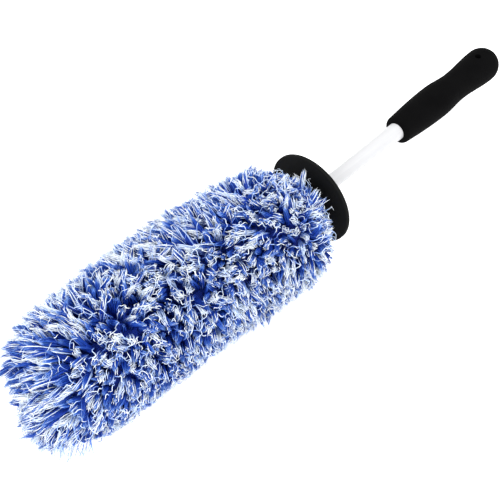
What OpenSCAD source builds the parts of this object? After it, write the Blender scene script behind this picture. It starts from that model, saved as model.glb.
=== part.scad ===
// Wheel brush: a plush-covered head on a tapered stem with a soft grip.
// The brush lies on its plush. Its axis runs along X, from the tip of the head (-X)
// to the end of the grip (+X), and the plane z = 0 is the surface it lies on.

/* [Head] */
// Length of the plush head, from its hem to its tip
head_len = 224.5; // [150:1:320]
// Diameter of the plush head
head_d = 88; // [76:1:110]
// Height of the plush above its knitted backing
pile_h = 15; // [12:0.5:18]
// Depth by which the plush is pressed flat where the head lies
pile_press = 2.5; // [1:0.5:5]
// Diameter at which the round shoulder of the head turns in to its neck
neck_d = 20; // [19:0.5:30]

/* [Cover] */
// Thickness of the knitted backing
backing_t = 1; // [0.6:0.1:1.6]
// Angle from the axis to the edge of the round end panel
panel_angle = 45; // [30:1:60]
// Room between the foam and the knitted backing
cover_gap = 1.8; // [1.6:0.1:3]
// Width of the sewn seam allowances inside the cover
seam_w = 5; // [3:0.5:8]
// Thickness of the sewn seam allowances
seam_t = 1; // [0.6:0.1:1.2]
// Width of the hem binding round the stem
hem_w = 8; // [6:0.5:9]
// Thickness of the binding tape
tape_t = 1; // [0.8:0.1:1.2]
// Diameter of the elastic cord in the hem
elastic_d = 2; // [1.4:0.1:2.4]

/* [Foam and core] */
// Width of the flat core in the foam
paddle_w = 22; // [14:1:27]
// Thickness of the flat core
paddle_t = 4; // [3:0.5:6]
// Number of holes along the flat core
paddle_holes = 5; // [1:1:6]
// Diameter of the holes in the flat core
paddle_hole_d = 9; // [5:0.5:11]
// Diameter of the core's round tang
core_tang_d = 5.4; // [4:0.1:6]
// Depth of the socket that the tang sits in
socket_depth = 24; // [16:1:28]
// Wall of the cap on the end of the core
cap_wall = 2; // [1.5:0.25:3]
// Length of the cap's grip on the core
cap_grip = 10; // [6:1:16]

/* [Stem] */
// Length of the stem between the guard and the grip
stem_len = 87.5; // [50:1:150]
// Diameter of the stem at the guard
stem_front_d = 9.5; // [8.5:0.1:11.5]
// Diameter of the stem at the grip
stem_rear_d = 12.5; // [11.5:0.1:14.5]
// Length of the stem inside the head
nose_len = 44; // [40:1:60]
// Diameter of the pin that locks the core in the stem
core_pin_d = 2; // [1.5:0.1:2.4]

/* [Guard] */
// Diameter of the guard disc
guard_d = 64.5; // [50:0.5:78]
// Thickness of the guard disc
guard_t = 3; // [2:0.1:5]
// Radius that rounds the guard's two edges
guard_edge_r = 1; // [0.4:0.1:1.2]
// Diameter of the push-on clip in front of the guard
clip_d = 16; // [13:0.5:22]
// Thickness of the clip
clip_t = 1.2; // [0.8:0.1:2]

/* [Grip] */
// Length of the grip
grip_len = 114.5; // [95:0.5:140]
// Diameter of the grip at its mouth
mouth_d = 20; // [18:0.5:24]
// Radius that rounds the edge of the mouth
mouth_edge_r = 3; // [1:0.25:3]
// Largest diameter of the grip's front half
swell_d = 25; // [20.5:0.1:30]
// Distance from the mouth to that diameter
swell_at = 44; // [34:1:52]
// Diameter of the waist
waist_d = 22; // [18.2:0.1:26.5]
// Distance from the mouth to the waist
waist_at = 67; // [56:1:74]
// Diameter of the round heel
heel_d = 26.2; // [21.8:0.1:31.5]
// Diameter of the hanging hole
hang_hole_d = 4.5; // [4:0.1:6]
// Distance from the end of the grip to the hanging hole
hang_hole_inset = 21; // [16:0.5:23]

/* [Grip core] */
// Diameter of the hard core inside the grip
grip_core_d = 15; // [12.5:0.1:16]
// Depth of the mouth in front of the hard core
mouth_depth = 10; // [8:0.5:14]
// Diameter of the stem's tang inside the core
stem_tang_d = 9; // [7:0.1:10.5]
// Wall between the tang and the hanging hole
eye_wall = 8; // [4:0.5:12]
// Thickness of the soft sleeve behind the core
heel_wall = 9; // [6:0.5:11]
// Diameter of the pin that locks the stem in the grip
stem_pin_d = 3; // [2:0.1:3.6]
// Distance from the core's front face to that pin
stem_pin_inset = 15; // [8:0.5:22]

/* [Clearances] */
// Gap between the guard and the head
guard_gap = 0.5; // [0.4:0.1:2]
// Radial gap of the guard on the stem
running_gap = 0.05; // [0.02:0.01:0.1]
// Gap between the clip and the guard
clip_play = 0.1; // [0.05:0.01:0.3]
// Gap round a hard piece that slips into another
slip_gap = 0.1; // [0.05:0.01:0.2]
// Gap between the foam and what it covers
foam_gap = 0.2; // [0.1:0.05:0.4]

/* [Hidden] */
$fn = 96;
profile_step = 2.5;       // spacing of the points along the grip's outline
cut_margin = 1;           // how far a cutting shape runs past what it cuts
edge_wall = 0.5;          // flat left between the rounded mouth and its bore

total_len = head_len + guard_gap + guard_t + stem_len + grip_len;
x_tip = -total_len / 2;
x_hem = x_tip + head_len;
x_guard = x_hem + guard_gap;
x_taper = x_guard + guard_t;
x_mouth = x_taper + stem_len;
x_end = x_mouth + grip_len;
x_clip = x_guard - clip_play - clip_t;
x_nose = x_guard - nose_len;
x_grip_core = x_mouth + mouth_depth;
x_hang_hole = x_end - hang_hole_inset;
x_tang_end = x_hang_hole - hang_hole_d / 2 - eye_wall;
x_core_end = x_end - heel_wall;

pile_r = head_d / 2;
backing_r = pile_r - pile_h;
lining_r = backing_r - backing_t;
foam_r = lining_r - cover_gap;
axis_z = pile_r - pile_press;
x_dome = x_tip + pile_r;  // centre of the head's round end
panel_z = -backing_r * cos(panel_angle);
neck_r = neck_d / 2;
hem_z = x_hem - x_dome;
shoulder_z = hem_z - (pile_r - neck_r);  // centre of the round shoulder
wall_z = hem_z - pile_h;                 // rear wall of the knitted cover

stem_r = stem_front_d / 2;
hem_r = stem_r + slip_gap;
collar_r = hem_r + tape_t;
hem_outer_r = collar_r + backing_t + tape_t;
pile_neck_r = max(hem_outer_r, clip_d / 2) + slip_gap;
tunnel_len = elastic_d + 2 * tape_t;
elastic_z = wall_z + hem_w - tunnel_len / 2;
paddle_front = x_dome - cap_grip / 2;
cap_r = paddle_w / 2 + cap_wall;
heel_z = grip_len - heel_d / 2;

// Grip radius at a distance from its mouth: a quarter wave up to the swell,
// then half waves down to the waist and up to the heel.
function half_wave(a, b, f) = a + (b - a) * (1 - cos(180 * f)) / 2;
function grip_r(z) =
    z < swell_at
    ? (mouth_d + (swell_d - mouth_d) * sin(90 * z / swell_at)) / 2
    : z < waist_at
    ? half_wave(swell_d, waist_d, (z - swell_at) / (waist_at - swell_at)) / 2
    : half_wave(waist_d, heel_d, (z - waist_at) / (heel_z - waist_at)) / 2;

// Points of an arc about (r, z), from angle a to angle b.
function arc(r, z, radius, a, b, steps) =
    [for (i = [0:steps]) let (t = a + (b - a) * i / steps)
        [r + radius * cos(t), z + radius * sin(t)]];

module on_axis(x) {
    translate([x, 0, axis_z]) rotate([0, 90, 0]) children();
}

module rod(x0, x1, r) {
    on_axis(x0) cylinder(h = x1 - x0, r = r);
}

// A section drawn with the radius along X and the distance along the axis on Y.
module turned(x) {
    on_axis(x) rotate_extrude() children();
}

// Half section of a round-ended bar about the head's dome, up to z on the stem side.
module bullet_section(r, z) {
    intersection() {
        union() {
            circle(r = r);
            square([r, z]);
        }
        translate([0, -r]) square([r, r + z]);
    }
}

// Half section of the whole head at radius r: a round tip, a straight side and a round
// shoulder that turns in to the neck. Sections of other radii lie parallel to it.
module head_section(r) {
    intersection() {
        union() {
            circle(r = r);
            square([r, shoulder_z]);
            translate([neck_r, shoulder_z]) circle(r = r - neck_r);
            square([neck_r, shoulder_z + r - neck_r]);
        }
        translate([0, -r]) square([r, head_len + r]);
    }
}

// A strip of a head section from the axis out to radius r, on the stem side of the dome.
module neck_strip(r) {
    translate([0, cap_grip]) square([r, head_len]);
}

// The part of a head section on the tip side of z, or on the stem side.
module tip_side(z) {
    intersection() {
        children();
        translate([0, z - head_d]) square([head_d, head_d]);
    }
}
module stem_side(z) {
    intersection() {
        children();
        translate([0, z]) square([head_d, head_len + head_d]);
    }
}

module above_surface() {
    intersection() {
        children();
        translate([-total_len, -head_d, 0]) cube([2 * total_len, 2 * head_d, 2 * head_d]);
    }
}

module paddle_bar(x0, x1, grow) {
    t = paddle_t + 2 * grow;
    edge_y = (paddle_w - paddle_t) / 2;
    translate([x0, -edge_y, axis_z - t / 2]) cube([x1 - x0, 2 * edge_y, t]);
    for (side = [-1, 1])
        translate([0, side * edge_y, 0]) rod(x0, x1, t / 2);
}

module cap_body(grow) {
    turned(x_dome) bullet_section(cap_r + grow, cap_grip + grow);
}

// A pin across the axis, as long as fits inside a bar of radius bar_r.
module cross_pin(x, pin_r, bar_r) {
    reach = sqrt(bar_r * bar_r - pin_r * pin_r);
    translate([x, 0, axis_z - reach]) cylinder(h = 2 * reach, r = pin_r);
}
module cross_hole(x, hole_r) {
    translate([x, 0, axis_z - heel_d]) cylinder(h = 2 * heel_d, r = hole_r);
}

module grip_section() {
    bore_r = stem_rear_d / 2 + slip_gap;
    edge = min(mouth_edge_r, mouth_d / 2 - bore_r - edge_wall);
    outline = [for (z = [edge + profile_step:profile_step:heel_z - profile_step]) [grip_r(z), z]];
    front_r = grip_r(edge);
    polygon(concat(
        [[0, grip_len], [0, x_core_end - x_mouth], [grip_core_d / 2, x_core_end - x_mouth]],
        [[grip_core_d / 2, mouth_depth], [bore_r, mouth_depth], [bore_r, 0]],
        arc(front_r - edge, edge, edge, -90, 0, 6),
        outline,
        arc(0, heel_z, heel_d / 2, 0, 87.5, 14)
    ));
}

module grip_sleeve() {
    color("#1b1b1c") difference() {
        turned(x_mouth) grip_section();
        cross_hole(x_hang_hole, hang_hole_d / 2);
    }
}

module grip_core() {
    color("#2c2c30") difference() {
        rod(x_grip_core, x_core_end, grip_core_d / 2);
        rod(x_grip_core - cut_margin, x_tang_end + slip_gap, stem_tang_d / 2 + slip_gap);
        cross_hole(x_grip_core + stem_pin_inset, stem_pin_d / 2);
        cross_hole(x_hang_hole, hang_hole_d / 2);
    }
}

module stem_pin() {
    color("silver") cross_pin(x_grip_core + stem_pin_inset, stem_pin_d / 2, grip_core_d / 2);
}

module stem() {
    color("white") difference() {
        turned(0) polygon([
            [0, x_nose], [stem_r, x_nose], [stem_r, x_taper],
            [stem_rear_d / 2, x_mouth], [stem_rear_d / 2, x_grip_core],
            [stem_tang_d / 2, x_grip_core], [stem_tang_d / 2, x_tang_end], [0, x_tang_end]
        ]);
        rod(x_nose - cut_margin, x_nose + socket_depth, core_tang_d / 2 + slip_gap);
        cross_hole(x_nose + socket_depth / 2, core_pin_d / 2);
        cross_hole(x_grip_core + stem_pin_inset, stem_pin_d / 2);
    }
}

module guard_disc() {
    edge = min(guard_edge_r, guard_t / 2 - slip_gap);
    rim_r = guard_d / 2;
    color("#202022") turned(x_guard) polygon(concat(
        [[stem_r + running_gap, guard_t], [stem_r + running_gap, 0]],
        arc(rim_r - edge, edge, edge, -90, 0, 6),
        arc(rim_r - edge, guard_t - edge, edge, 0, 90, 6)
    ));
}

module guard_clip() {
    color("silver") difference() {
        rod(x_clip, x_clip + clip_t, clip_d / 2);
        rod(x_clip - cut_margin, x_guard, stem_r);
    }
}

module core_pin() {
    color("silver") cross_pin(x_nose + socket_depth / 2, core_pin_d / 2, stem_r);
}

module head_core() {
    pitch = (x_nose - x_dome - cap_grip) / (paddle_holes + 1);
    color("ivory") difference() {
        union() {
            paddle_bar(paddle_front, x_nose, 0);
            rod(x_nose - paddle_t, x_nose + socket_depth - slip_gap, core_tang_d / 2);
        }
        for (i = [1:paddle_holes])
            cross_hole(x_dome + cap_grip + i * pitch, paddle_hole_d / 2);
        cross_hole(x_nose + socket_depth / 2, core_pin_d / 2);
    }
}

module core_tip_cap() {
    color("dimgray") difference() {
        cap_body(0);
        paddle_bar(paddle_front - slip_gap, x_dome + cap_grip + cut_margin, slip_gap);
    }
}

module foam_sleeve() {
    color("#e8dfc2") difference() {
        turned(x_dome) stem_side(0) head_section(foam_r);
        cap_body(foam_gap);
        paddle_bar(x_dome, x_nose, foam_gap);
        rod(x_nose - paddle_t - foam_gap, x_guard, stem_r + foam_gap);
    }
}

module foam_tip() {
    color("#e2d8b8") difference() {
        turned(x_dome) tip_side(0) head_section(foam_r);
        cap_body(foam_gap);
    }
}

module backing_section() {
    difference() {
        head_section(backing_r);
        head_section(lining_r);
        neck_strip(collar_r);
    }
    translate([collar_r, wall_z - backing_t]) square([backing_t, hem_w - tunnel_len + backing_t]);
}

module cover_backing() {
    color("#27459c") turned(x_dome) stem_side(panel_z) backing_section();
}

module cover_end_panel() {
    color("#27459c") turned(x_dome) tip_side(panel_z) backing_section();
}

module side_seam() {
    color("#1d2f66") intersection() {
        turned(x_dome) translate([lining_r - seam_t, 0]) square([seam_t, shoulder_z]);
        translate([x_tip, 0, axis_z - seam_w / 2]) cube([head_len, pile_r, seam_w]);
    }
}

module end_seam() {
    color("#1d2f66") turned(x_dome) intersection() {
        difference() {
            circle(r = lining_r);
            circle(r = lining_r - seam_t);
        }
        translate([0, panel_z - seam_w / 2]) square([backing_r, seam_w]);
    }
}

module hem_binding() {
    color("#1f3580") turned(x_dome) difference() {
        translate([hem_r, wall_z]) square([hem_outer_r - hem_r, hem_w]);
        translate([collar_r, wall_z - cut_margin]) square([backing_t, hem_w - tunnel_len + cut_margin]);
        translate([(hem_r + hem_outer_r) / 2, elastic_z]) circle(r = elastic_d / 2 + slip_gap);
    }
}

module hem_elastic() {
    color("white") turned(x_dome)
        translate([(hem_r + hem_outer_r) / 2, elastic_z]) circle(r = elastic_d / 2);
}

module pile_section() {
    difference() {
        head_section(pile_r);
        head_section(backing_r);
        neck_strip(pile_neck_r);
    }
}

module pile_side() {
    color("#3a63c9") above_surface() turned(x_dome) stem_side(panel_z) pile_section();
}

module pile_tip() {
    color("#4a73d6") above_surface() turned(x_dome) tip_side(panel_z) pile_section();
}

grip_sleeve();
grip_core();
stem_pin();
stem();
guard_disc();
guard_clip();
core_pin();
head_core();
core_tip_cap();
foam_sleeve();
foam_tip();
cover_backing();
cover_end_panel();
side_seam();
end_seam();
hem_binding();
hem_elastic();
pile_side();
pile_tip();
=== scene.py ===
"""Looks of the wheel brush: plush head, guard disc, stem and soft grip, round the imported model."""
import math

import bpy
import numpy as np
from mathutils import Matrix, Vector


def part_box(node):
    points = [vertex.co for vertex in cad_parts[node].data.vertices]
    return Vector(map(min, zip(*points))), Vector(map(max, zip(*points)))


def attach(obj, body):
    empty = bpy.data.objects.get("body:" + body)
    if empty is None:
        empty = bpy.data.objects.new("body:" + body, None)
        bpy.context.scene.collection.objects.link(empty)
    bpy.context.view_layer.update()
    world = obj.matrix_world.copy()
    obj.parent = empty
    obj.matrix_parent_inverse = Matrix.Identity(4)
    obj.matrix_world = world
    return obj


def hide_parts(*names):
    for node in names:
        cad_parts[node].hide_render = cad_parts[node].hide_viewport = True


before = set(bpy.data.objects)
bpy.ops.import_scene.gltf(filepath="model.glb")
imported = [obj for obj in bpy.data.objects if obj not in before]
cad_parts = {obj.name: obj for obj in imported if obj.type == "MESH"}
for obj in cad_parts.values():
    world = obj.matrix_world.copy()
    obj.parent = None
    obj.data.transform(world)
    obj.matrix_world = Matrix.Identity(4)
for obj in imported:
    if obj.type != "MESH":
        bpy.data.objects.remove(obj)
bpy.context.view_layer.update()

MM = 0.001


def node_box(name):
    low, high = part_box(name)
    return np.array(low), np.array(high)


# ---------------------------------------------------------------- sizes, all from the CAD
tip_low = node_box("pile_tip")[0]
side_low, side_high = node_box("pile_side")
backing_low, backing_high = node_box("cover_backing")
guard_low, guard_high = node_box("guard_disc")

axis_z = (guard_low[2] + guard_high[2]) / 2
pile_r = (side_high[1] - side_low[1]) / 2
backing_r = (backing_high[1] - backing_low[1]) / 2
guard_r = (guard_high[1] - guard_low[1]) / 2
pile_height = pile_r - backing_r
x_dome = tip_low[0] + pile_r     # centre of the head's round tip
x_hem = side_high[0]
x_guard = guard_low[0]
neck_r = 10 * MM                 # where the head's shoulder turns in to the neck, as in the CAD
x_shoulder = x_hem - (pile_r - neck_r)
straight = x_shoulder - x_dome


# ---------------------------------------------------------------- camera, floor and light
CAMERA_TURN, CAMERA_RISE, CAMERA_DISTANCE = math.radians(-45.5), math.radians(50.3), 0.549
AIM_LEFT, AIM_DOWN = 0.0399, 0.0341      # from the guard's middle to the middle of the view
LENS, SENSOR = 61.2, 36


def add_camera():
    """Looks down on the brush from beyond its tip, with the grip running away to the upper right."""
    turn, rise = CAMERA_TURN, CAMERA_RISE
    back = Vector((math.sin(turn) * math.cos(rise), -math.cos(turn) * math.cos(rise), math.sin(rise)))
    right = Vector((math.cos(turn), math.sin(turn), 0))
    up = back.cross(right)
    guard_mid = Vector((guard_high[0], 0, axis_z))
    aim = guard_mid - AIM_LEFT * right - AIM_DOWN * up
    data = bpy.data.cameras.new("camera")
    data.lens, data.sensor_width = LENS, SENSOR
    data.clip_start = 0.01
    cam = bpy.data.objects.new("camera", data)
    bpy.context.scene.collection.objects.link(cam)
    cam.location = aim + CAMERA_DISTANCE * back
    cam.rotation_euler = (aim - cam.location).to_track_quat("-Z", "Y").to_euler()
    bpy.context.scene.camera = cam


LAMPS = (("key", (0.2, -0.45, 1.25), 14), ("left", (-1.0, -0.35, 0.75), 10), ("back", (-0.05, 0.95, 0.8), 5))
LAMP_SIZE = 0.8
LIT_POINT = Vector((-0.05, 0, 0.03))     # near the middle of the brush
FLOOR_SIZE, FLOOR_DROP = 60, 0.0002      # the floor lies a hair under the plush
FLOOR_COLOUR, FLOOR_GLOW, SKY_GLOW = (0.86, 0.86, 0.87, 1), 0.55, 0.6


def add_light(name, place, power):
    data = bpy.data.lights.new(name, "AREA")
    data.shape, data.size, data.energy = "DISK", LAMP_SIZE, power
    lamp = bpy.data.objects.new(name, data)
    bpy.context.scene.collection.objects.link(lamp)
    lamp.location = place
    lamp.rotation_euler = (LIT_POINT - Vector(place)).to_track_quat("-Z", "Y").to_euler()


def add_stage():
    """A plain white floor, a white surround and three soft round lamps."""
    bpy.ops.object.select_all(action="DESELECT")
    bpy.ops.mesh.primitive_plane_add(size=FLOOR_SIZE, location=(0, 0, -FLOOR_DROP))
    floor = bpy.context.object
    floor.name = "studio_floor"
    mat, _, p = new_material("studio_white")
    p.inputs["Base Color"].default_value = FLOOR_COLOUR
    p.inputs["Roughness"].default_value = 0.9
    p.inputs["Emission Color"].default_value = (1, 1, 1, 1)
    p.inputs["Emission Strength"].default_value = FLOOR_GLOW
    floor.data.materials.append(mat)
    world = bpy.data.worlds.new("studio")
    world.use_nodes = True
    world.node_tree.nodes["Background"].inputs["Color"].default_value = (1, 1, 1, 1)
    world.node_tree.nodes["Background"].inputs["Strength"].default_value = SKY_GLOW
    bpy.context.scene.world = world
    bpy.context.scene.view_settings.view_transform = "Standard"
    bpy.context.scene.view_settings.look = "None"
    for name, place, power in LAMPS:
        add_light(name, place, power)


# ---------------------------------------------------------------- materials
def new_material(name):
    mat = bpy.data.materials.new(name)
    mat.use_nodes = True
    return mat, mat.node_tree, mat.node_tree.nodes["Principled BSDF"]


def ramp(nt, stops):
    node = nt.nodes.new("ShaderNodeValToRGB")
    keys = node.color_ramp.elements
    while len(keys) < len(stops):
        keys.new(0.5)
    for key, (place, colour) in zip(keys, sorted(stops)):
        key.position, key.color = place, (*colour, 1)
    return node


def strand_material(name, along, light_to_dark, rough):
    """Colour runs from root to tip along V, and each strand has its own tone along U."""
    mat, nt, p = new_material(name)
    uv = nt.nodes.new("ShaderNodeUVMap")
    uv.uv_map = "OFBake"
    parts = nt.nodes.new("ShaderNodeSeparateXYZ")
    nt.links.new(uv.outputs[0], parts.inputs[0])
    length = ramp(nt, along)
    nt.links.new(parts.outputs["Y"], length.inputs[0])
    tone = ramp(nt, light_to_dark)
    nt.links.new(parts.outputs["X"], tone.inputs[0])
    mix = nt.nodes.new("ShaderNodeMix")
    mix.data_type, mix.blend_type = "RGBA", "MULTIPLY"
    mix.inputs["Factor"].default_value = 1
    nt.links.new(length.outputs[0], mix.inputs["A"])
    nt.links.new(tone.outputs[0], mix.inputs["B"])
    nt.links.new(mix.outputs["Result"], p.inputs["Base Color"])
    p.inputs["Roughness"].default_value = rough
    p.inputs["Specular IOR Level"].default_value = 0.25
    return mat


# ---------------------------------------------------------------- strands of the plush
def model_strand(name, rings, sides=3):
    """One strand along +Z, 1 long: a small loop drawn out ring by ring and closed at both ends."""
    bpy.ops.object.select_all(action="DESELECT")
    bpy.ops.mesh.primitive_circle_add(vertices=sides, radius=rings[0][1], fill_type="NGON",
                                      location=(0, 0, 0))
    strand = bpy.context.object
    strand.name = name
    bpy.ops.object.mode_set(mode="EDIT")
    bpy.ops.mesh.select_all(action="SELECT")
    at, wide = rings[0]
    for z, r in rings[1:]:
        bpy.ops.mesh.extrude_region_move(TRANSFORM_OT_translate={"value": (0, 0, z - at)})
        if r > 0:
            bpy.ops.transform.resize(value=(r / wide, r / wide, 1))
        else:
            bpy.ops.mesh.merge(type="CENTER")
        at, wide = z, r
    bpy.ops.mesh.select_all(action="SELECT")
    bpy.ops.mesh.normals_make_consistent(inside=False)
    bpy.ops.object.mode_set(mode="OBJECT")
    return strand


def take_shape(strand):
    """The strand's points, rings, faces and corner places, ready to be copied."""
    me = strand.data
    co = np.array([v.co[:] for v in me.vertices])
    levels = np.unique(co[:, 2].round(5))
    ring = np.searchsorted(levels, co[:, 2].round(5))
    faces = [list(f.vertices) for f in me.polygons]
    uv = []
    for f in me.polygons:
        mid = math.atan2(f.center[1], f.center[0]) / math.tau
        for i in f.vertices:
            x, y, z = co[i]
            a = mid if math.hypot(x, y) < 1e-6 else math.atan2(y, x) / math.tau
            a += round(mid - a)
            uv.append((a + 0.5, z))
    bpy.data.objects.remove(strand)
    return {"co": co, "levels": levels, "ring": ring, "faces": faces, "uv": np.array(uv)}


TONE_FROM, TONE_SPAN, ROUND_SPAN = 0.01, 0.96, 0.02   # U holds a strand's tone, plus a little for its sides


def unit(v):
    """The same directions, each 1 long."""
    return v / np.maximum(np.linalg.norm(v, axis=-1, keepdims=True), 1e-9)


def lay_strands(name, shape, paths, widths, tones, material, nodes):
    """Copies the strand along each path into one piece. paths is (strands, rings, 3)."""
    count, step = len(paths), len(shape["co"])
    along = unit(np.gradient(paths, axis=1))
    rng = np.random.default_rng(len(name) + count)
    ref = unit(rng.normal(size=(count, 1, 3)))
    first = unit(np.cross(along, np.broadcast_to(ref, along.shape)))
    second = np.cross(along, first)
    ring, co = shape["ring"], shape["co"]
    across, upward = co[:, 0][None, :, None], co[:, 1][None, :, None]
    pts = paths[:, ring] + widths[:, None, None] * (across * first[:, ring] + upward * second[:, ring])
    sizes = np.array([len(f) for f in shape["faces"]])
    corners = np.concatenate([np.array(f) for f in shape["faces"]])
    loops = (corners[None, :] + step * np.arange(count)[:, None]).ravel()
    starts = np.concatenate([[0], np.cumsum(np.tile(sizes, count))[:-1]])
    me = bpy.data.meshes.new(name)
    me.vertices.add(count * step)
    me.vertices.foreach_set("co", pts.astype(np.float32).ravel())
    me.loops.add(len(loops))
    me.loops.foreach_set("vertex_index", loops.astype(np.int32))
    me.polygons.add(len(starts))
    me.polygons.foreach_set("loop_start", starts.astype(np.int32))
    me.polygons.foreach_set("use_smooth", np.ones(len(starts), bool))
    me.update(calc_edges=True)
    uv = np.tile(shape["uv"], (count, 1))
    uv[:, 0] = (TONE_FROM + TONE_SPAN * np.repeat(tones, len(corners))) + ROUND_SPAN * (uv[:, 0] % 1)
    layer = me.uv_layers.new(name="OFBake")
    layer.uv.foreach_set("vector", uv.astype(np.float32).ravel())
    me.validate()
    obj = bpy.data.objects.new(name, me)
    bpy.context.scene.collection.objects.link(obj)
    me.materials.append(material)
    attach(obj, "brush")
    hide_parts(*nodes)
    return obj


def head_places(count, level, rng, jitter):
    """Spreads roots evenly over the head at one radius: their places and outward ways."""
    mid_r = (pile_r + backing_r) / 2
    curve_r = mid_r - neck_r
    dome_len, bend_len = mid_r * math.pi / 2, curve_r * math.pi / 2
    q = np.linspace(0, dome_len + straight + bend_len, 4000)   # way along the head from its tip

    def profile(q):
        theta = np.clip(q / mid_r, 0, math.pi / 2)
        phi = np.clip((q - dome_len - straight) / curve_r, 0, math.pi / 2)
        out_x = -np.cos(theta) + np.sin(phi)
        out_r = np.where(q < dome_len, np.sin(theta), np.cos(phi))
        mid_x = x_dome + np.clip(q - dome_len, 0, straight)
        hub_r = np.where(q > dome_len + straight, neck_r, 0)
        return mid_x, hub_r, out_x, out_r

    mid_x, hub_r, out_x, out_r = profile(q)
    arm = mid_r - hub_r
    area = np.concatenate([[0], np.cumsum((hub_r + arm * out_r)[1:] * np.diff(q))])
    i = np.arange(count)
    q = np.interp((i + 0.5) / count * area[-1], area, q)
    q = np.abs(q + rng.normal(0, jitter, count))
    mid_x, hub_r, out_x, out_r = profile(q)
    golden = math.pi * (3 - math.sqrt(5))
    turn = i * golden + rng.normal(0, jitter, count) / (mid_r * np.maximum(out_r, 0.2))
    arm = level - hub_r
    cos, sin = np.cos(turn), np.sin(turn)
    radial = hub_r + arm * out_r
    root = np.stack([mid_x + arm * out_x, radial * cos, axis_z + radial * sin], 1)
    return root, unit(np.stack([out_x, out_r * cos, out_r * sin], 1))


def drift(places, rng, reach, waves=6):
    """A slow change of direction over the head, so that neighbours lean the same way."""
    out = np.zeros_like(places)
    for _ in range(waves):
        wave = rng.normal(0, 1 / reach, 3)
        out += rng.normal(0, 1, 3) * np.sin(places @ wave + rng.uniform(0, math.tau))[:, None]
    return out / math.sqrt(waves)


REST_GAP, REST_PRESS = 0.3 * MM, 3.5 * MM     # strands this near the surface are pressed down to the gap
GUARD_GAP, GUARD_PRESS = 0.6 * MM, 3 * MM     # and likewise before the guard's face,
GUARD_MARGIN = 1.5 * MM                       # and a little past its rim


def keep_clear(paths):
    """Presses strands flat on the surface the head lies on, and keeps them off the guard's face."""
    z = paths[:, :, 2]
    low = z < REST_PRESS
    depth = REST_PRESS - REST_GAP
    z[low] = REST_GAP + depth * np.exp((z[low] - REST_PRESS) / depth)
    r = np.hypot(paths[:, :, 1], paths[:, :, 2] - axis_z)
    lid = x_guard - GUARD_GAP
    x = paths[:, :, 0]
    near = (r < guard_r + GUARD_MARGIN) & (x > lid - GUARD_PRESS)
    x[near] = lid - GUARD_PRESS + GUARD_PRESS * (1 - np.exp(-(x[near] - lid + GUARD_PRESS) / GUARD_PRESS))
    return paths


UPPER = np.array([0, -0.503, 0.864])   # the side of the head that faces the camera
LEFT = np.array([0, 0.864, 0.503])     # the side at right angles to it

# How much longer or shorter the plush stands than its plain height. The places run from below 0 over
# the round tip, through 0 at its centre, to 1 at the hem.
FULLER_AT = [-0.16, -0.13, -0.09, 0.0, 0.25, 0.5, 0.72, 0.85]
FULLER = [-0.7, -0.4, 0.14, 0.12, 0.24, 0.22, -0.03, -0.22]
FLATTER_AT = [-0.15, -0.08, 0.06, 0.3, 0.6, 0.75, 0.9]
FLATTER = [0.05, 0.42, 0.42, 0.18, 0.06, 0.15, 0.0]
THINNED_AT, THINNED = [0.76, 0.92], [0, 0.22]
PULL_BACK = 10 * MM                    # how far the plush beside the guard is pressed towards the tip


def fluff(root, out):
    """How high the plush stands: fuller on the left side, flatter on the other, thin by the guard."""
    share = (root[:, 0] - x_dome) / (x_hem - x_dome)
    left = out @ LEFT
    fuller = np.interp(share, FULLER_AT, FULLER) * left
    flatter = np.interp(share, FLATTER_AT, FLATTER) * np.clip(-left, 0, 1)
    return 1 + fuller - flatter - np.interp(share, THINNED_AT, THINNED) * beside_neck(out)


def beside_neck(out):
    """1 over the head, falling to 0 at the neck, where the plush stands straight up to the guard."""
    return np.clip(4 * (1 - out[:, 0]), 0, 1)


def draw_back(paths, out, s, press):
    """Beside the guard the plush is pressed towards the tip, most of all on its upper side."""
    upper = np.clip(0.45 + 0.75 * (out @ UPPER), 0.1, 1)
    pull = press * upper * np.clip(out[:, 0], 0, 1) * beside_neck(out)
    paths[:, :, 0] -= PULL_BACK * pull[:, None] * s[None, :] ** 1.2
    return paths


TUFTS, TUFT_JITTER = 2700, 0.7 * MM
TIPWARD, RUFFLE = -0.3, 0.23             # the tufts' lean towards the tip, and their own random one
SWIRL, SWIRL_REACH = 0.24, 13 * MM       # the lean that neighbours share, and how slowly it changes
PALE_SHARE, EDGED_SHARE = 0.23, 0.5      # tufts that are all white, and blue ones with white edges


def plant_tufts(rng):
    """Where each tuft grows, which way it leans and how it bows."""
    count = TUFTS
    root, out = head_places(count, backing_r - 0.3 * MM, rng, TUFT_JITTER)
    lean = np.array([TIPWARD, 0, 0]) + SWIRL * drift(root, rng, SWIRL_REACH)
    lean = lean + rng.normal(0, RUFFLE, (count, 3))
    lean -= out * (lean * out).sum(1, keepdims=True)
    way = unit(out + lean)
    rise = (way * out).sum(1)
    neck_shade = np.clip((out[:, 0] - 0.55) / 0.3, 0, 1)   # 1 at the neck, where painted shade from the guard lowers the tufts' tone and makes fewer of them white
    return {
        "root": root, "out": out, "way": way, "bend": unit(lean), "bow": rng.uniform(0, 0.35, count),
        "long": pile_height * rng.uniform(0.94, 1.12, count) * fluff(root, out) / np.clip(rise, 0.62, 1),
        "wide": rng.uniform(1.7, 2.9, count) * MM, "tone": rng.uniform(0.1, 0.66, count) - 0.15 * neck_shade,
        "press": rng.uniform(0.5, 1.6, count),
        "pale": rng.uniform(size=count) < PALE_SHARE * (1 - 0.3 * neck_shade),
    }


GOLDEN_TURN = 2.399        # spreads a tuft's fibres evenly over its section
FLATTENED = 0.6            # a tuft's section is wider than it is thick
STRAY_SHARE = 0.12         # fibres that are much lighter than their tuft


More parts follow.
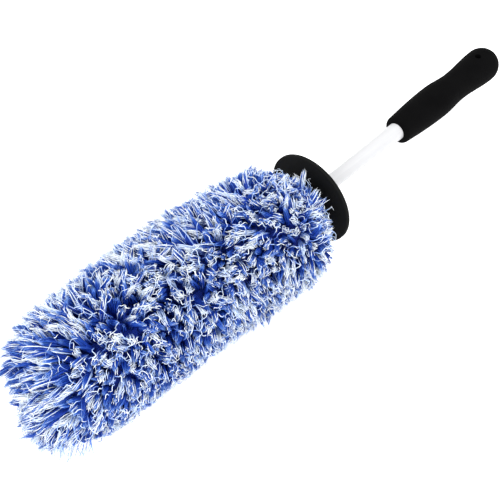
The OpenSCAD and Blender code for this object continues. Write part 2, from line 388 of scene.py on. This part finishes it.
def grow_fibres(rng, shape, tufts, pick, fibres, thick, crimp, spread, rim=0.0, stray=0.0):
    """The fibres of the picked tufts: they swell apart and meet again at the tip.

    thick is the range of their radius in millimetres, crimp the size of their waves, spread how far
    apart they stand at the root and how fast they close, and rim how far out in the tuft they start.
    """
    tufts = {k: v[pick] for k, v in tufts.items()}
    count = len(tufts["root"])
    n = count * fibres
    t = {k: np.repeat(v, fibres, axis=0) for k, v in tufts.items()}
    a = unit(np.cross(tufts["way"], unit(rng.normal(size=(count, 3)))))
    a, b = np.repeat(a, fibres, axis=0), np.repeat(np.cross(tufts["way"], a), fibres, axis=0)
    k = np.tile(np.arange(fibres), count)
    ang = k * GOLDEN_TURN + np.repeat(rng.uniform(0, math.tau, count), fibres) + rng.uniform(-0.4, 0.4, n)
    rad = rim + (1 - rim) * np.sqrt((k + 0.4) / fibres)
    s = shape["levels"][None, :, None]
    length = (t["long"] * (1 + 0.12 * rim - 0.28 * rad * rng.uniform(0, 1, n) ** 1.5))[:, None, None]
    side = (rad * np.cos(ang))[:, None] * a + (FLATTENED * rad * np.sin(ang))[:, None] * b
    open_out = spread[0] + (1 - spread[0]) * np.sin(math.pi * s ** 1.15 * spread[1])
    bow = (t["bow"][:, None] * t["bend"])[:, None]
    paths = t["root"][:, None] + length * (s * t["way"][:, None] + s ** 2 * bow)
    paths = paths + side[:, None] * t["wide"][:, None, None] * open_out
    sway = rng.uniform(0.5, 1.5, (n, 1, 1)) * crimp
    beat, phase = rng.uniform(1.2, 2.6, (n, 1, 1)), rng.uniform(0, math.tau, (n, 1, 1))
    paths = paths + sway * s ** 0.8 * (np.sin(math.tau * beat * s + phase) * a[:, None]
                                       + np.cos(math.tau * beat * 0.8 * s + 2 * phase) * b[:, None])
    paths = draw_back(paths, t["out"], shape["levels"], t["press"])
    tones = t["tone"] + rng.normal(0, 0.1, n) + stray * (rng.uniform(size=n) < STRAY_SHARE)
    return keep_clear(paths), rng.uniform(*thick, n) * MM, np.clip(tones, 0, 1), t["root"][:, 0]


CURLS, CURL_START = 1700, 8 * MM         # loose threads, and how deep in the plush they start


def grow_curls(rng, shape):
    """Loose thin strands that wander over the tufts."""
    count = CURLS
    root, out = head_places(count, pile_r - CURL_START, rng, 1.5 * MM)
    side = unit(np.cross(out, unit(rng.normal(size=(count, 3)))))
    other = np.cross(out, side)
    s = shape["levels"][None, :, None]
    run = rng.uniform(3, 11, count)[:, None, None] * MM
    reach = pile_height * (fluff(root, out) - 1)
    climb = (rng.uniform(6.5, 9.5, count) * MM + reach)[:, None, None]
    crimp = rng.uniform(0.4, 1.2, count)[:, None, None] * MM
    beats = rng.uniform(1.0, 2.6, count)[:, None, None]
    phase = rng.uniform(0, math.tau, count)[:, None, None]
    rise = np.sin(np.clip(s * 1.5, 0, 1) * math.pi / 2)
    paths = (root[:, None, :] + out[:, None, :] * climb * rise + side[:, None, :] * run * s ** 1.3
             + other[:, None, :] * crimp * np.sin(math.tau * beats * s + phase) * (0.3 + s)
             + out[:, None, :] * 0.5 * crimp * np.sin(math.tau * beats * 0.8 * s + 2 * phase))
    paths = draw_back(paths, out, 0.4 + 0.6 * shape["levels"], rng.uniform(0.6, 1.6, count))
    return keep_clear(paths), rng.uniform(0.17, 0.27, count) * MM, rng.uniform(0, 1, count), root[:, 0]


PLUSH_PARTS = (("tip", -0.01, 0.0), ("front", 0.0, 0.18), ("fore", 0.18, 0.38), ("middle", 0.38, 0.58),
               ("back", 0.58, 0.79), ("rear", 0.79, 2.0))
TIP_ZONE = 8 * MM          # the tip's part ends this far short of the round tip's centre

# Strand outlines as (share of the length, share of the radius).
FIBRE = [(0, 0.8), (0.3, 1.0), (0.58, 0.96), (0.82, 0.58), (1, 0)]
THREAD = [(0, 0.8)] + [(k / 8, 1.0) for k in range(1, 7)] + [(0.88, 0.8), (1, 0)]
HAIR = [(0, 0.8), (0.25, 1.0), (0.45, 1.0), (0.65, 1.0), (0.85, 0.9), (1, 0)]

# Colours from root to tip, and the tones that multiply them from one strand to the next.
# The blue darkens a little towards the root as painted shade and turns pale at the tip as a painted
# highlight.
BLUE_ALONG_PAINTED_LIGHT = [(0.0, (0.009, 0.042, 0.4)), (0.3, (0.0105, 0.05, 0.42)), (0.6, (0.0115, 0.054, 0.41)),
              (0.85, (0.019, 0.084, 0.47)), (1.0, (0.2, 0.4, 0.9))]
BLUE_TONES = [(0, (0.5, 0.55, 0.65)), (0.45, (1, 1, 1)), (0.75, (1.9, 1.5, 1.15)), (1, (7, 3.6, 1.6))]
# The white strands are blue and darker towards the root as painted shade, and white only in their upper part.
WHITE_ALONG_PAINTED_SHADE = [(0.0, (0.04, 0.12, 0.55)), (0.25, (0.24, 0.4, 0.92)), (0.45, (0.56, 0.73, 1.0)),
               (0.68, (0.87, 0.94, 1.0)), (1.0, (0.92, 0.96, 1.0))]
WHITE_TONES = [(0, (0.62, 0.74, 0.98)), (0.35, (1, 1, 1)), (1, (1, 1, 0.99))]


def lay_in_parts(kind, shape, grown, material):
    """Lays the strands as one piece for each part of the head."""
    paths, widths, tones, at_x = grown
    share = (at_x - (x_dome - TIP_ZONE)) / (x_hem - x_dome + TIP_ZONE)
    for part, low, high in PLUSH_PARTS:
        zone = (share < high) if part == "tip" else (share >= low) & (share < high)
        lay_strands(f"plush_{kind}_{part}", shape, paths[zone], widths[zone], tones[zone], material,
                    ["pile_tip" if part == "tip" else "pile_side"])


def make_plush():
    """Blue tufts, white threads at the edges of half of them, white tufts, and loose curls."""
    rng = np.random.default_rng(41)
    fibre, thread, hair = (take_shape(model_strand(name, rings))
                           for name, rings in (("fibre", FIBRE), ("thread", THREAD), ("hair", HAIR)))
    blue = strand_material("plush_blue", BLUE_ALONG_PAINTED_LIGHT, BLUE_TONES, 0.5)
    white = strand_material("plush_white", WHITE_ALONG_PAINTED_SHADE, WHITE_TONES, 0.55)
    tufts = plant_tufts(rng)
    pale = tufts["pale"]
    grown = grow_fibres(rng, fibre, tufts, ~pale, fibres=19, thick=(0.3, 0.44), crimp=0.12 * MM,
                        spread=(0.4, 1.0), stray=0.6)
    lay_in_parts("blue", fibre, grown, blue)
    edged = ~pale & (rng.uniform(size=TUFTS) < EDGED_SHARE)
    grown = grow_fibres(rng, hair, tufts, edged, fibres=6, thick=(0.24, 0.34), crimp=0.4 * MM,
                        spread=(0.6, 0.8), rim=0.6)
    lay_in_parts("edging", hair, grown, white)
    grown = grow_fibres(rng, thread, tufts, pale, fibres=11, thick=(0.24, 0.34), crimp=0.5 * MM,
                        spread=(0.5, 0.85))
    lay_in_parts("white", thread, grown, white)
    lay_in_parts("curls", thread, grow_curls(rng, thread), white)


# ---------------------------------------------------------------- surfaces
def effect_group(name, inputs, outputs):
    """An empty shared effect with its named sockets, its input node and its output node."""
    group = bpy.data.node_groups.new(name, "ShaderNodeTree")
    for label, kind, value in inputs:
        socket = group.interface.new_socket(name=label, in_out="INPUT", socket_type=kind)
        socket.default_value = value
    for label, kind in outputs:
        group.interface.new_socket(name=label, in_out="OUTPUT", socket_type=kind)
    return group, group.nodes.new("NodeGroupInput"), group.nodes.new("NodeGroupOutput")


def grain_effect():
    """Fine moulded or cut grain: a normal for the bumps, and a mask of broad, slow patches."""
    group, given, out = effect_group("fine_grain", [
        ("Grains per metre", "NodeSocketFloat", 2200.0), ("Depth", "NodeSocketFloat", 0.0001),
        ("Strength", "NodeSocketFloat", 0.5), ("Patches per metre", "NodeSocketFloat", 40.0)],
        [("Normal", "NodeSocketVector"), ("Patches", "NodeSocketFloat")])
    place = group.nodes.new("ShaderNodeTexCoord")
    fine, broad = group.nodes.new("ShaderNodeTexNoise"), group.nodes.new("ShaderNodeTexNoise")
    fine.inputs["Detail"].default_value, broad.inputs["Detail"].default_value = 3, 4
    bump = group.nodes.new("ShaderNodeBump")
    for tex, socket in ((fine, "Grains per metre"), (broad, "Patches per metre")):
        group.links.new(place.outputs["Object"], tex.inputs["Vector"])
        group.links.new(given.outputs[socket], tex.inputs["Scale"])
    group.links.new(fine.outputs[0], bump.inputs["Height"])
    group.links.new(given.outputs["Depth"], bump.inputs["Distance"])
    group.links.new(given.outputs["Strength"], bump.inputs["Strength"])
    group.links.new(bump.outputs[0], out.inputs["Normal"])
    group.links.new(broad.outputs[0], out.inputs["Patches"])
    return group


def knit_effect():
    """Rows and columns of knitted loops round the brush's axis, as a height."""
    group, given, out = effect_group("knit_loops", [
        ("Loops per metre", "NodeSocketFloat", 900.0), ("Axis height", "NodeSocketFloat", axis_z),
        ("Radius", "NodeSocketFloat", backing_r)], [("Height", "NodeSocketFloat")])

    def maths(kind, a, b=None):
        node = group.nodes.new("ShaderNodeMath")
        node.operation = kind
        for socket, value in zip(node.inputs, (a, b)):
            if isinstance(value, (int, float)):
                socket.default_value = value
            elif value is not None:
                group.links.new(value, socket)
        return node.outputs[0]

    place = group.nodes.new("ShaderNodeTexCoord")
    parts = group.nodes.new("ShaderNodeSeparateXYZ")
    group.links.new(place.outputs["Object"], parts.inputs[0])
    height = maths("SUBTRACT", parts.outputs["Z"], given.outputs["Axis height"])
    turn = maths("ARCTAN2", parts.outputs["Y"], height)
    rate = maths("MULTIPLY", given.outputs["Loops per metre"], math.tau)
    across = maths("MULTIPLY", maths("MULTIPLY", turn, given.outputs["Radius"]), rate)
    along = maths("MULTIPLY", parts.outputs["X"], rate)
    columns = maths("ABSOLUTE", maths("SINE", maths("MULTIPLY", across, 0.5)))
    bowed = maths("MULTIPLY", columns, 2.2)   # each loop bows across its row
    rows = maths("SINE", maths("ADD", along, bowed))
    group.links.new(maths("MULTIPLY", maths("ADD", rows, 1.0), columns), out.inputs["Height"])
    return group


GRAIN, KNIT = grain_effect(), knit_effect()


def link_effect(nt, group, **values):
    node = nt.nodes.new("ShaderNodeGroup")
    node.node_tree = group
    for socket, value in values.items():
        node.inputs[socket.replace("_", " ")].default_value = value
    return node


def shade_between(nt, mask, low, high, first=0.3, last=0.7):
    """A colour that runs from low to high as the mask does."""
    node = ramp(nt, [(first, low), (last, high)])
    nt.links.new(mask, node.inputs[0])
    return node.outputs[0]


UNEVEN = 0.1               # how much smoother a hard surface is where its patches are dark


def grained(name, low, high, rough, grains, depth, strength=0.5, patches=40.0, metal=0.0, shine=0.3):
    """A hard or rubbery surface with its own grain, broad colour patches and uneven roughness."""
    mat, nt, p = new_material(name)
    grain = link_effect(nt, GRAIN, Grains_per_metre=grains, Depth=depth, Strength=strength,
                        Patches_per_metre=patches)
    nt.links.new(shade_between(nt, grain.outputs["Patches"], low, high), p.inputs["Base Color"])
    spread = nt.nodes.new("ShaderNodeMapRange")
    spread.inputs["To Min"].default_value, spread.inputs["To Max"].default_value = rough - UNEVEN, rough
    nt.links.new(grain.outputs["Patches"], spread.inputs["Value"])
    nt.links.new(spread.outputs[0], p.inputs["Roughness"])
    nt.links.new(grain.outputs["Normal"], p.inputs["Normal"])
    p.inputs["Metallic"].default_value = metal
    p.inputs["Specular IOR Level"].default_value = shine
    return mat


def add_bump(nt, p, height, depth, strength):
    bump = nt.nodes.new("ShaderNodeBump")
    bump.inputs["Distance"].default_value, bump.inputs["Strength"].default_value = depth, strength
    nt.links.new(height, bump.inputs["Height"])
    nt.links.new(bump.outputs[0], p.inputs["Normal"])


def soft_grip_material():
    """Black soft-touch rubber: fine skin grain and broad patches that are slightly lighter."""
    return grained("soft_grip", (0.0012, 0.0012, 0.0014), (0.0028, 0.0028, 0.003), rough=0.95, grains=1500,
                   depth=0.00022, strength=0.7, patches=55, shine=0.05)


def stem_material():
    """White painted tube: a soft sheen and faint rub marks that run along it."""
    mat, nt, p = new_material("white_stem")
    place = nt.nodes.new("ShaderNodeTexCoord")
    stretch = nt.nodes.new("ShaderNodeMapping")
    stretch.inputs["Scale"].default_value = (30, 900, 900)   # marks per metre, so they are long along X
    marks = nt.nodes.new("ShaderNodeTexNoise")
    marks.inputs["Scale"].default_value, marks.inputs["Detail"].default_value = 1, 5
    nt.links.new(place.outputs["Object"], stretch.inputs["Vector"])
    nt.links.new(stretch.outputs[0], marks.inputs["Vector"])
    paint = shade_between(nt, marks.outputs[0], (0.53, 0.535, 0.55), (0.56, 0.56, 0.57))
    nt.links.new(paint, p.inputs["Base Color"])
    spread = nt.nodes.new("ShaderNodeMapRange")
    spread.inputs["To Min"].default_value, spread.inputs["To Max"].default_value = 0.28, 0.42
    nt.links.new(marks.outputs[0], spread.inputs["Value"])
    nt.links.new(spread.outputs[0], p.inputs["Roughness"])
    add_bump(nt, p, marks.outputs[0], 0.00002, 0.3)
    return mat


def knitted(name, low, high, loops=900.0, radius=backing_r):
    """Knitted cloth: loops in rows and columns, with painted shade darkening the low places between them."""
    mat, nt, p = new_material(name)
    knit = link_effect(nt, KNIT, Loops_per_metre=loops, Radius=radius)
    # Painted shade: the colour runs from dark in the hollows between the loops to light on their tops.
    nt.links.new(shade_between(nt, knit.outputs["Height"], low, high, 0.1, 0.9), p.inputs["Base Color"])
    add_bump(nt, p, knit.outputs["Height"], 0.0003, 0.8)
    p.inputs["Roughness"].default_value = 0.9
    p.inputs["Specular IOR Level"].default_value = 0.15
    p.inputs["Sheen Weight"].default_value = 0.1
    return mat


def sponge_material():
    """Open-celled polyurethane sponge: round pores, with painted shade darkening them inside."""
    mat, nt, p = new_material("sponge")
    place = nt.nodes.new("ShaderNodeTexCoord")
    cells = nt.nodes.new("ShaderNodeTexVoronoi")
    cells.inputs["Scale"].default_value = 900
    nt.links.new(place.outputs["Object"], cells.inputs["Vector"])
    # Painted shade: the colour darkens towards each pore's centre.
    foam = shade_between(nt, cells.outputs["Distance"], (0.42, 0.36, 0.2), (0.82, 0.77, 0.58), 0.1, 0.5)
    nt.links.new(foam, p.inputs["Base Color"])
    add_bump(nt, p, cells.outputs["Distance"], 0.0004, 0.8)
    p.inputs["Roughness"].default_value = 0.95
    p.inputs["Specular IOR Level"].default_value = 0.1
    return mat


def coat(node, material):
    """Gives a CAD node its material."""
    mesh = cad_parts[node].data
    mesh.materials.clear()
    mesh.materials.append(material)


def finish_hard_pieces():
    """Gives every CAD node that is kept its own finish."""
    coat("grip_sleeve", soft_grip_material())
    coat("guard_disc", grained("guard_foam", (0.003, 0.0032, 0.0032), (0.005, 0.0052, 0.0052), rough=0.92,
                               grains=2200, depth=0.00016, strength=0.6, patches=70, shine=0.13))
    coat("stem", stem_material())
    steel = grained("steel", (0.5, 0.5, 0.52), (0.62, 0.62, 0.63), rough=0.34, grains=3000, depth=0.00002,
                    strength=0.3, metal=1, shine=0.5)
    for node in ("guard_clip", "core_pin", "stem_pin"):
        coat(node, steel)
    coat("grip_core", grained("hard_insert", (0.012, 0.012, 0.013), (0.02, 0.02, 0.022), rough=0.5,
                              grains=1500, depth=0.00005))
    coat("head_core", grained("flexible_core", (0.66, 0.64, 0.58), (0.74, 0.72, 0.66), rough=0.42,
                              grains=900, depth=0.00004))
    coat("core_tip_cap", grained("cap_rubber", (0.02, 0.02, 0.02), (0.035, 0.035, 0.036), rough=0.8,
                                 grains=1200, depth=0.0001))
    coat("hem_elastic", grained("elastic", (0.6, 0.6, 0.57), (0.78, 0.78, 0.75), rough=0.8,
                                grains=2400, depth=0.0002, strength=0.8))


# ---------------------------------------------------------------- sponge, knitted cover, seams and hem
def turn_cloth(name, rings, sides=72):
    """A shell of cloth about the brush's axis, drawn out ring by ring along (x, radius)."""
    bpy.ops.object.select_all(action="DESELECT")
    x, r = rings[0]
    bpy.ops.mesh.primitive_circle_add(vertices=sides, radius=r, location=(x, 0, axis_z),
                                      rotation=(0, math.pi / 2, 0))
    cloth = bpy.context.object
    cloth.name = name
    bpy.ops.object.transform_apply(location=True, rotation=True, scale=True)
    bpy.ops.object.mode_set(mode="EDIT")
    bpy.ops.mesh.select_all(action="SELECT")
    for x1, r1 in rings[1:]:
        bpy.ops.mesh.extrude_edges_move(TRANSFORM_OT_translate={"value": (x1 - x, 0, 0)})
        if r1 > 0:
            bpy.ops.transform.resize(value=(1, r1 / r, r1 / r), center_override=(x1, 0, axis_z))
        else:
            bpy.ops.mesh.merge(type="CENTER")
        x, r = x1, r1
    bpy.ops.mesh.select_all(action="SELECT")
    bpy.ops.mesh.normals_make_consistent(inside=False)
    bpy.ops.object.mode_set(mode="OBJECT")
    bpy.ops.object.shade_smooth()
    return cloth


def thicken(cloth, thickness):
    """Gives the cloth its wall, half on each side."""
    wall = cloth.modifiers.new("wall", "SOLIDIFY")
    wall.thickness, wall.offset = thickness, 0
    bpy.context.view_layer.objects.active = cloth
    bpy.ops.object.modifier_apply(modifier=wall.name)


def place_piece(obj, material, slot, *nodes):
    """Gives a new piece its material and its body, and hides the CAD nodes it stands for; the slot is not
    used.
    """
    obj.data.materials.clear()
    obj.data.materials.append(material)
    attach(obj, "brush")
    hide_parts(*nodes)
    return obj


KNIT_WALL, FOLD_WALL, TAPE_WALL = 0.9 * MM, 0.7 * MM, 0.5 * MM
THREAD_RADIUS, STITCH_PITCH, END_STITCHES = 0.16 * MM, 2 * MM, 64
STITCH_STEPS = 12          # rings round one stitch
CORNER_STEPS, SIDE_STEPS, BEND_STEPS = 9, 36, 12     # points along each stretch of the cover's outline
PANEL_ANGLE = math.radians(45)                       # from the axis to the end panel's seam


def stitch_row(name, rng, places, rounds, material, nodes):
    """Overlock stitches: one loop of thread for each place, laid round the seam's section."""
    rings = [(k / STITCH_STEPS, 1.0) for k in range(STITCH_STEPS + 1)]
    loop = take_shape(model_strand("stitch", rings, sides=5))
    paths = rounds(places[:, None], loop["levels"][None, :])
    return lay_strands(name, loop, paths, np.full(len(paths), THREAD_RADIUS),
                       rng.uniform(0.3, 0.7, len(paths)), material, nodes)


def cover_outline(mid, corner, hem_r):
    """The middle line of the cloth as (x, radius): the side panel up to the hem, and the end panel."""
    bend = mid - neck_r
    side = [(x_dome - mid * math.cos(a), mid * math.sin(a))
            for a in np.linspace(corner, math.pi / 2, CORNER_STEPS)]
    side += [(x_dome + straight * k / SIDE_STEPS, mid) for k in range(1, SIDE_STEPS + 1)]
    side += [(x_shoulder + bend * math.sin(a), neck_r + bend * math.cos(a))
             for a in np.linspace(0.12, math.pi / 2, BEND_STEPS)]
    wall = side[-1][0]
    side += [(wall, hem_r - 1.4 * MM), (wall + 3.6 * MM, hem_r - 1.5 * MM)]
    end = [(x_dome - mid * math.cos(a), mid * math.sin(a)) for a in np.linspace(corner, 0.06, BEND_STEPS)]
    return side, end + [(x_dome - mid, 0)]


def sew_side_seam(rng, tape, thread):
    """The turned-in allowance along the side, and the stitches round it."""
    low, high = node_box("side_seam")
    centre, half = (low + high) / 2, (high - low) / 2
    bpy.ops.object.select_all(action="DESELECT")
    bpy.ops.mesh.primitive_cube_add(size=1, location=centre, scale=(high - low) * (1, 0.75, 0.9))
    strip = bpy.context.object
    strip.name = "side_seam_allowance"
    bpy.ops.object.transform_apply(location=True, rotation=True, scale=True)
    bpy.ops.object.mode_set(mode="EDIT")
    bpy.ops.mesh.bevel(offset=0.3 * MM, segments=2, affect="EDGES")
    bpy.ops.object.mode_set(mode="OBJECT")
    place_piece(strip, tape, "seam_thread", "side_seam")

    def round_strip(x, s):
        turn = math.tau * s
        return np.stack([x + 0.9 * MM * s + 0 * turn, centre[1] + 0.82 * half[1] * np.sin(turn) + 0 * x,
                         centre[2] + 0.98 * half[2] * np.cos(turn) + 0 * x], -1)

    places = np.arange(low[0] + 1 * MM, high[0] - 1 * MM, STITCH_PITCH)
    return strip, stitch_row("side_seam_thread", rng, places, round_strip, thread, ["side_seam"])


def sew_end_seam(rng, tape, thread):
    """The turned-in allowance round the end panel, and the stitches round it."""
    inner = backing_r - 1.6 * MM
    low, high = node_box("end_seam")
    angles = np.arccos((x_dome - np.array([low[0], high[0]])) / inner)
    band = [(x_dome - inner * math.cos(a), inner * math.sin(a)) for a in np.linspace(angles[0], angles[1], 6)]
    ring = place_piece(turn_cloth("end_seam_allowance", band), tape, "seam_thread", "end_seam")
    thicken(ring, FOLD_WALL)

    def round_band(turn, s):
        a = (angles[0] + angles[1]) / 2 + (angles[1] - angles[0]) * 0.49 * np.cos(math.tau * s)
        r = inner + 0.45 * MM * np.sin(math.tau * s)
        turn = turn + 0.02 * s
        return np.stack([x_dome - r * np.cos(a) + 0 * turn, r * np.sin(a) * np.cos(turn),
                         axis_z + r * np.sin(a) * np.sin(turn)], -1)

    places = np.linspace(0, math.tau, END_STITCHES, endpoint=False)
    return ring, stitch_row("end_seam_thread", rng, places, round_band, thread, ["end_seam"])


def bind_hem(tape, low, high, hem_r):
    """The tape folded over the cover's edge, drawn out as (x, radius)."""
    start, end = low[0] + 0.2 * MM, high[0]
    fold = [(start, hem_r - 2.6 * MM), (end - 1.2 * MM, hem_r - 2.6 * MM), (end - 0.5 * MM, hem_r - 2.1 * MM),
            (end - 0.4 * MM, hem_r - 1.4 * MM), (end - 0.6 * MM, hem_r - 0.7 * MM),
            (end - 1.3 * MM, hem_r - 0.35 * MM), (start, hem_r - 0.35 * MM)]
    hem = place_piece(turn_cloth("hem_tape", fold), tape, "hem_tape", "hem_binding")
    thicken(hem, TAPE_WALL)
    return hem


SPONGE_GRID, SPONGE_LUMPS, SPONGE_ROUGH = 1.1 * MM, 4 * MM, 0.3 * MM   # mesh size, lump size and height


def make_sponge():
    """Cuts each sponge piece from its CAD shape and roughens its surface as a cut sponge is."""
    sponge = sponge_material()
    for node in ("foam_sleeve", "foam_tip"):
        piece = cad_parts[node].copy()
        piece.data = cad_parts[node].data.copy()
        piece.name = node.replace("foam", "sponge")
        bpy.context.scene.collection.objects.link(piece)
        bpy.ops.object.select_all(action="DESELECT")
        piece.select_set(True)
        bpy.context.view_layer.objects.active = piece
        bpy.ops.object.mode_set(mode="EDIT")
        bpy.ops.mesh.select_all(action="SELECT")
        bpy.ops.mesh.remove_doubles(threshold=0.00001)
        bpy.ops.object.mode_set(mode="OBJECT")
        even = piece.modifiers.new("even", "REMESH")
        even.mode, even.voxel_size = "VOXEL", SPONGE_GRID
        bpy.ops.object.modifier_apply(modifier=even.name)
        lumps = bpy.data.textures.new("sponge_lumps", "CLOUDS")
        lumps.noise_scale = SPONGE_LUMPS
        rough = piece.modifiers.new("rough", "DISPLACE")
        rough.texture, rough.strength, rough.texture_coords = lumps, SPONGE_ROUGH, "LOCAL"
        bpy.ops.object.modifier_apply(modifier=rough.name)
        bpy.ops.object.shade_smooth()
        place_piece(piece, sponge, "sponge", node)


def make_cover():
    """The knitted cover under the plush: a side panel, a round end panel, their seams and the hem."""
    rng = np.random.default_rng(7)
    hem_low, hem_high = node_box("hem_binding")
    hem_r = (hem_high[1] - hem_low[1]) / 2
    side, end = cover_outline(backing_r - 0.5 * MM, PANEL_ANGLE, hem_r)
    knit = knitted("knit_backing", (0.006, 0.026, 0.26), (0.01, 0.042, 0.4))
    panel = place_piece(turn_cloth("cover_side_knit", side), knit, "knit_backing", "cover_backing")
    cap = place_piece(turn_cloth("cover_end_knit", end), knit, "knit_backing", "cover_end_panel")
    for cloth in (panel, cap):
        thicken(cloth, KNIT_WALL)
    thread = strand_material("seam_thread", [(0.0, (0.01, 0.02, 0.1)), (1.0, (0.02, 0.04, 0.2))],
                             [(0, (0.7, 0.7, 0.8)), (1, (1.4, 1.4, 1.2))], 0.6)
    tape = knitted("hem_tape", (0.004, 0.012, 0.09), (0.01, 0.03, 0.2), loops=1500.0, radius=hem_r)
    strip, side_thread = sew_side_seam(rng, tape, thread)
    ring, end_thread = sew_end_seam(rng, tape, thread)
    hem = bind_hem(tape, hem_low, hem_high, hem_r)


add_camera()
add_stage()
make_plush()
make_sponge()
make_cover()
finish_hard_pieces()
